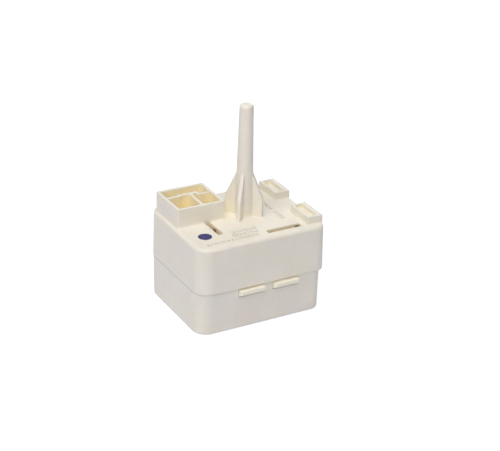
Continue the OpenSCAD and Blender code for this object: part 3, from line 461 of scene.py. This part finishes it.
def blue_ink():
    """Marker ink: violet blue, denser at the rim where it dried."""
    material, tree, shader, place = new_material("blue_ink")
    shift = tree.nodes.new("ShaderNodeVectorMath")
    shift.operation = "SUBTRACT"
    link(tree, place, shift.inputs[0])
    shift.inputs[1].default_value = (DOT_PLACE[0] * MM, DOT_PLACE[1] * MM, TOP_Z * MM)
    length = tree.nodes.new("ShaderNodeVectorMath")
    length.operation = "LENGTH"
    link(tree, shift.outputs["Vector"], length.inputs[0])
    streaks = noise(tree, place, 1300.0, 4.0, 0.6)
    rim = ramp(tree, length.outputs["Value"], 0.0012, 0.0024)
    dry = math_node(tree, "ADD", math_node(tree, "MULTIPLY", rim, 0.5),
                    math_node(tree, "MULTIPLY", streaks, 0.5), clamp=True)
    link(tree, mix_color(tree, dry, linear(42, 40, 112), linear(31, 29, 84)),
         shader.inputs["Base Color"])
    link(tree, math_node(tree, "ADD", math_node(tree, "MULTIPLY", streaks, 0.2), 0.45),
         shader.inputs["Roughness"])
    return material


ink = blue_ink()

FINISHES = {
    "housing_plastic": housing_plastic, "tray_plastic": tray_plastic, "phenolic": phenolic,
    "brass": brass, "spring_steel": spring_steel, "bimetal": bimetal,
    "heater_alloy": heater_alloy, "silver": silver, "ptc_ceramic": ptc_ceramic,
}

for part in frame["record"]["subparts"]:
    node = nodes[part["node"]]
    node.data.materials.clear()
    node.data.materials.append(FINISHES[part["material_slot"]])


# Pieces that the CAD leaves to the scene

def mesh_object(name, mesh):
    """Links a finished mesh as an object at the origin."""
    piece = bpy.data.objects.new(name, mesh)
    bpy.context.scene.collection.objects.link(piece)
    return piece


def add_ink_dot():
    """A hand-made marker spot on the top, a little uneven and slightly domed."""
    bm = bmesh.new()
    steps = 72
    rings = [(0.45, 1.0), (0.8, 0.9), (0.94, 0.6), (1.0, 0.0)]
    height = 0.05
    centre = Vector((DOT_PLACE[0], DOT_PLACE[1], TOP_Z)) * MM
    top = bm.verts.new(centre + Vector((0, 0, height * MM)))
    loops = []
    for share, level in rings:
        loop = []
        for i in range(steps):
            a = 2 * math.pi * i / steps
            wobble = 1 + 0.018 * math.sin(3 * a + 0.7) + 0.012 * math.sin(7 * a + 2.0)
            r = DOT_R * share * wobble
            loop.append(bm.verts.new(centre + Vector((r * math.cos(a), r * math.sin(a), height * level)) * MM))
        loops.append(loop)
    under = [bm.verts.new(v.co - Vector((0, 0, ROOT * MM))) for v in loops[-1]]
    foot = bm.verts.new(centre - Vector((0, 0, ROOT * MM)))
    loops.append(under)
    for i in range(steps):
        j = (i + 1) % steps
        bm.faces.new((top, loops[0][i], loops[0][j]))
        for inner, outer in zip(loops, loops[1:]):
            bm.faces.new((inner[i], outer[i], outer[j], inner[j]))
        bm.faces.new((foot, under[j], under[i]))
    for face in bm.faces:
        face.smooth = True
    mesh = bpy.data.meshes.new("ink_dot")
    bm.to_mesh(mesh)
    bm.free()
    mesh.materials.append(ink)
    piece = mesh_object("ink_dot", mesh)
    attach(piece, "root")


def make_tick_row():
    """Geometry Nodes tree: a row of raised ticks with sloping sides, their sizes varied."""
    tree = bpy.data.node_groups.new("tick_row", "GeometryNodeTree")
    for label, kind in (("Geometry", "NodeSocketGeometry"), ("First", "NodeSocketVector"),
                        ("Step", "NodeSocketVector"), ("Count", "NodeSocketInt"),
                        ("Smallest", "NodeSocketVector"), ("Largest", "NodeSocketVector"),
                        ("Seed", "NodeSocketInt"), ("Finish", "NodeSocketMaterial")):
        tree.interface.new_socket(name=label, in_out="INPUT", socket_type=kind)
    tree.interface.new_socket(name="Geometry", in_out="OUTPUT", socket_type="NodeSocketGeometry")
    start = tree.nodes.new("NodeGroupInput")
    end = tree.nodes.new("NodeGroupOutput")
    row = tree.nodes.new("GeometryNodeMeshLine")
    link(tree, start.outputs["Count"], row.inputs["Count"])
    link(tree, start.outputs["First"], row.inputs["Start Location"])
    link(tree, start.outputs["Step"], row.inputs["Offset"])
    tick = tree.nodes.new("GeometryNodeMeshCone")
    for label, value in (("Vertices", 4), ("Radius Top", 0.56), ("Radius Bottom", 0.72), ("Depth", 1.0)):
        tick.inputs[label].default_value = value
    squared = tree.nodes.new("GeometryNodeTransform")
    squared.inputs["Rotation"].default_value = (0.0, 0.0, math.radians(45))
    link(tree, tick.outputs["Mesh"], squared.inputs["Geometry"])
    size = tree.nodes.new("FunctionNodeRandomValue")
    size.data_type = "FLOAT_VECTOR"
    link(tree, start.outputs["Smallest"], size.inputs["Min"])
    link(tree, start.outputs["Largest"], size.inputs["Max"])
    link(tree, start.outputs["Seed"], size.inputs["Seed"])
    placed = tree.nodes.new("GeometryNodeInstanceOnPoints")
    link(tree, row.outputs["Mesh"], placed.inputs["Points"])
    link(tree, squared.outputs["Geometry"], placed.inputs["Instance"])
    link(tree, size.outputs["Value"], placed.inputs["Scale"])
    real = tree.nodes.new("GeometryNodeRealizeInstances")
    link(tree, placed.outputs["Instances"], real.inputs["Geometry"])
    finish = tree.nodes.new("GeometryNodeSetMaterial")
    link(tree, real.outputs["Geometry"], finish.inputs["Geometry"])
    link(tree, start.outputs["Finish"], finish.inputs["Material"])
    link(tree, finish.outputs["Geometry"], end.inputs["Geometry"])
    return tree


def plain_copy(piece):
    """The evaluated object as a plain mesh; the object itself goes."""
    bpy.context.view_layer.update()
    seen = piece.evaluated_get(bpy.context.evaluated_depsgraph_get())
    mesh = bpy.data.meshes.new_from_object(seen)
    piece.modifiers.clear()
    bpy.data.objects.remove(piece)
    return mesh


def add_raised_ticks():
    """Rows of plain raised ticks on the flat top."""
    tree = make_tick_row()
    sockets = {item.name: item.identifier for item in tree.interface.items_tree
               if item.item_type == "SOCKET" and item.in_out == "INPUT"}
    bm = bmesh.new()
    for seed, (first, step, count, smallest, largest) in enumerate(TICK_ROWS):
        row = mesh_object("tick_row", bpy.data.meshes.new("tick_row"))
        modifier = row.modifiers.new("ticks", "NODES")
        modifier.node_group = tree
        values = {
            "First": [first[0] * MM, first[1] * MM, (TOP_Z - ROOT) * MM],
            "Step": [step[0] * MM, step[1] * MM, 0.0], "Count": count, "Seed": seed + 3,
            "Smallest": [smallest[0] * MM, smallest[1] * MM, TICK_H * MM],
            "Largest": [largest[0] * MM, largest[1] * MM, TICK_H * MM],
            "Finish": housing_plastic,
        }
        for label, value in values.items():
            modifier[sockets[label]] = value
        bm.from_mesh(plain_copy(row))
    mesh = bpy.data.meshes.new("raised_ticks")
    bm.to_mesh(mesh)
    bm.free()
    mesh.materials.append(housing_plastic)
    ticks = mesh_object("raised_ticks", mesh)
    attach(ticks, "root")


add_ink_dot()
add_raised_ticks()


# Studio

def add_floor():
    """A large pale table that reads as white and keeps a faint shadow."""
    mesh = bpy.data.meshes.new("floor")
    half = 3.0
    mesh.from_pydata([(-half, -half, 0), (half, -half, 0), (half, half, 0), (-half, half, 0)], [],
                     [(0, 1, 2, 3)])
    floor = mesh_object("floor", mesh)
    material = bpy.data.materials.new("floor_white")
    material.use_nodes = True
    tree = material.node_tree
    tree.nodes.clear()
    output = tree.nodes.new("ShaderNodeOutputMaterial")
    diffuse = add_node(tree, "ShaderNodeBsdfDiffuse", Color=(0.78, 0.785, 0.86, 1.0))
    white = add_node(tree, "ShaderNodeEmission", Strength=FLOOR_GLOW)
    lights = tree.nodes.new("ShaderNodeLightPath")
    seen = math_node(tree, "MAXIMUM", lights.outputs["Is Camera Ray"],
                     math_node(tree, "MAXIMUM", lights.outputs["Is Glossy Ray"],
                               lights.outputs["Is Transmission Ray"]))
    link(tree, math_node(tree, "MULTIPLY", seen, FLOOR_GLOW), white.inputs["Strength"])
    both = tree.nodes.new("ShaderNodeAddShader")
    link(tree, diffuse.outputs[0], both.inputs[0])
    link(tree, white.outputs[0], both.inputs[1])
    link(tree, both.outputs[0], output.inputs["Surface"])
    mesh.materials.append(material)


def add_world():
    """Even soft light from all round, seen as plain white."""
    world = bpy.data.worlds.new("studio")
    bpy.context.scene.world = world
    world.use_nodes = True
    tree = world.node_tree
    background = tree.nodes["Background"]
    background.inputs["Color"].default_value = (1.0, 1.0, 1.0, 1.0)
    lights = tree.nodes.new("ShaderNodeLightPath")
    seen = math_node(tree, "MAXIMUM", lights.outputs["Is Camera Ray"],
                     math_node(tree, "MAXIMUM", lights.outputs["Is Glossy Ray"],
                               lights.outputs["Is Transmission Ray"]))
    span = math_node(tree, "MULTIPLY", seen, 1.0 - WORLD_LIGHT)
    link(tree, math_node(tree, "ADD", span, WORLD_LIGHT), background.inputs["Strength"])


def add_softbox(name, place, size, power, color=(1.0, 1.0, 1.0), aim=(0.0, 0.0, 0.025)):
    """A large square lamp turned to the relay."""
    data = bpy.data.lights.new(name, "AREA")
    data.shape = "SQUARE"
    data.size = size
    data.energy = power
    data.color = color
    lamp = bpy.data.objects.new(name, data)
    bpy.context.scene.collection.objects.link(lamp)
    lamp.location = place
    lamp.rotation_euler = (Vector(aim) - Vector(place)).to_track_quat("-Z", "Y").to_euler()


FLOOR_GLOW = 0.56
WORLD_LIGHT = 0.1
add_floor()
add_world()
add_softbox("top_light", (-0.15, -0.1, 0.9), 0.8, 5.1, (1.0, 0.995, 0.98))
add_softbox("left_light", (-0.8, -0.35, 0.45), 0.6, 1.35, (1.0, 0.975, 0.99))
add_softbox("camera_side_light", (-0.45, -0.75, 0.65), 0.6, 2.75, (1.0, 0.97, 1.0))

add_softbox("back_light", (0.75, 0.65, 0.35), 0.6, 1.5)

bpy.context.scene.view_settings.view_transform = "Standard"

bpy.context.view_layer.update()
